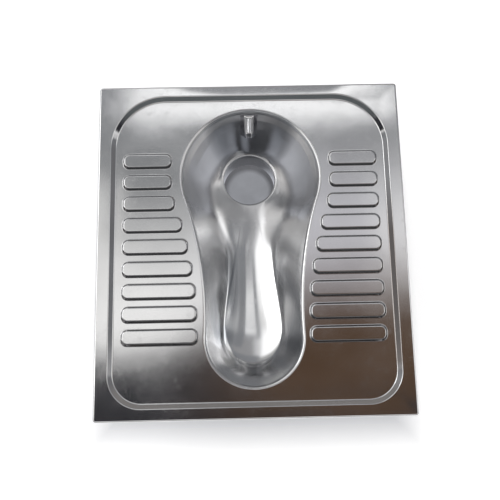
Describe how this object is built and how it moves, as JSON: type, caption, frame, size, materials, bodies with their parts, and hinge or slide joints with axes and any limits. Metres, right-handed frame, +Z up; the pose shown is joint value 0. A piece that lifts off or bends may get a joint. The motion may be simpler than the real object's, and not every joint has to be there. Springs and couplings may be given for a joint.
{
  "type": "squat toilet pan",
  "caption": "Pressed stainless steel squat toilet pan with a recessed foot area, raised treads, a keyhole bowl, a rear flush hood, an outlet spigot and anchor legs.",
  "frame": {"origin": "on the slab that the feet stand on, under the middle of the deck", "axes": "+X to the user's right, +Y towards the wall with the flush inlet, +Z up out of the floor"},
  "size_m": [0.5, 0.55, 0.215],
  "materials": {
    "stainless_deck": "satin pressed stainless sheet",
    "stainless_bowl": "satin drawn stainless sheet",
    "stainless_hood": "polished stainless sheet",
    "stainless_tube": "pickled stainless tube",
    "stainless_rail": "mill finish stainless strip",
    "galvanised": "zinc coated steel strip",
    "fasteners": "zinc plated",
    "rubber": "moulded black rubber",
    "deadening": "self-adhesive bitumen sheet"
  },
  "bodies": {
    "root": {"deck_plate": "stainless_deck", "bowl_shell": "stainless_bowl", "outlet_spigot": "stainless_tube", "outlet_seal": "rubber", "flush_hood": "stainless_hood", "flush_nipple": "stainless_tube", "flush_connector": "rubber", "rail_left": "stainless_rail", "rail_right": "stainless_rail", "pad_outer_left": "deadening", "pad_outer_right": "deadening", "pad_inner_left": "deadening", "pad_inner_right": "deadening", "leg_front_left": "galvanised", "leg_front_right": "galvanised", "leg_rear_left": "galvanised", "leg_rear_right": "galvanised", "leg_studs": "fasteners", "leg_washers": "fasteners", "leg_nuts": "fasteners", "earth_tag": "stainless_rail"}
  },
  "joints": []
}
